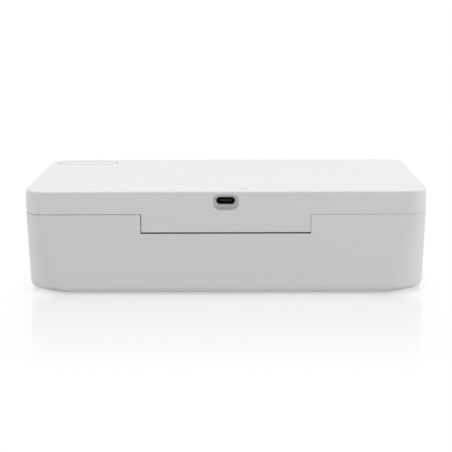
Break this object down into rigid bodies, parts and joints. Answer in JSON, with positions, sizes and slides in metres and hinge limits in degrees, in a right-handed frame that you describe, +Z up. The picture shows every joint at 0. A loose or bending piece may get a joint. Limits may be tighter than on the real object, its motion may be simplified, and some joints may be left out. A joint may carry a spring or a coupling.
{
  "type": "sterilizing box",
  "caption": "White rectangular sterilizing box with a rear-hinged lid, an oval push button on top, ultraviolet lamps in the lid, a mirrored tray and an inlet pocket at the rear.",
  "frame": {"origin": "centre of the footprint, on the plane that the four feet rest on", "axes": "+X to the right seen from the front, +Y from the front to the hinge, +Z up"},
  "size_m": [0.2, 0.11, 0.0522],
  "materials": {
    "white_shell": "satin moulded",
    "white_button": "satin moulded",
    "light_pipe": "translucent satin",
    "mirror_tray": "vacuum metallised plastic",
    "quartz": "polished",
    "foot_rubber": "matte moulded",
    "seal_rubber": "matte moulded",
    "steel": "bright drawn",
    "nickel": "nickel plated",
    "circuit_board": "solder mask",
    "lamp_board": "white solder mask on aluminium",
    "black_plastic": "matte moulded",
    "lamp": "ceramic package",
    "flat_cable": "laminated film",
    "can_aluminium": "bright can"
  },
  "bodies": {
    "base": {"base_shell": "white_shell", "base_liner": "mirror_tray", "chamber_seal": "seal_rubber", "hinge_shaft": "steel", "foot_1": "foot_rubber", "foot_2": "foot_rubber", "foot_3": "foot_rubber", "foot_4": "foot_rubber", "base_screw_1": "steel", "base_screw_2": "steel", "base_screw_3": "steel", "base_screw_4": "steel", "base_magnet_1": "nickel", "base_magnet_2": "nickel"},
    "lid": {"lid_cover": "white_shell", "lid_inner_cover": "mirror_tray", "lid_screw_1": "steel", "lid_screw_2": "steel", "lid_screw_3": "steel", "lid_screw_4": "steel", "lid_screw_5": "steel", "lid_screw_6": "steel", "lid_magnet_1": "nickel", "lid_magnet_2": "nickel", "lamp_board_right": "lamp_board", "lamp_board_left": "lamp_board", "uv_led_1": "lamp", "uv_led_2": "lamp", "uv_led_3": "lamp", "uv_led_4": "lamp", "quartz_window_1": "quartz", "quartz_window_2": "quartz", "quartz_window_3": "quartz", "quartz_window_4": "quartz", "main_board": "circuit_board", "usb_c_shell": "steel", "usb_c_tongue": "black_plastic", "controller_chip": "black_plastic", "inductor": "black_plastic", "capacitor_1": "can_aluminium", "capacitor_2": "can_aluminium", "status_led": "lamp", "status_light_pipe": "light_pipe", "board_screw_1": "steel", "board_screw_2": "steel", "board_screw_3": "steel", "board_screw_4": "steel", "switch_body": "black_plastic", "switch_board": "circuit_board", "lid_sensor": "black_plastic", "lamp_ribbon_right": "flat_cable", "lamp_ribbon_left": "flat_cable", "switch_ribbon": "flat_cable"},
    "button": {"power_button": "white_button", "switch_plunger": "black_plastic"}
  },
  "joints": [
    {"name": "lid_hinge", "type": "hinge", "parent": "base", "child": "lid", "pos_m": [0, 0.0524, 0.0338], "axis": [-1, 0, 0], "range_deg": [0, 95]},
    {"name": "button_press", "type": "slide", "parent": "lid", "child": "button", "axis": [0, 0, -1], "range_m": [0, 0.0005], "stiffness_N_per_m": 2000, "springref_m": -0.0003}
  ]
}
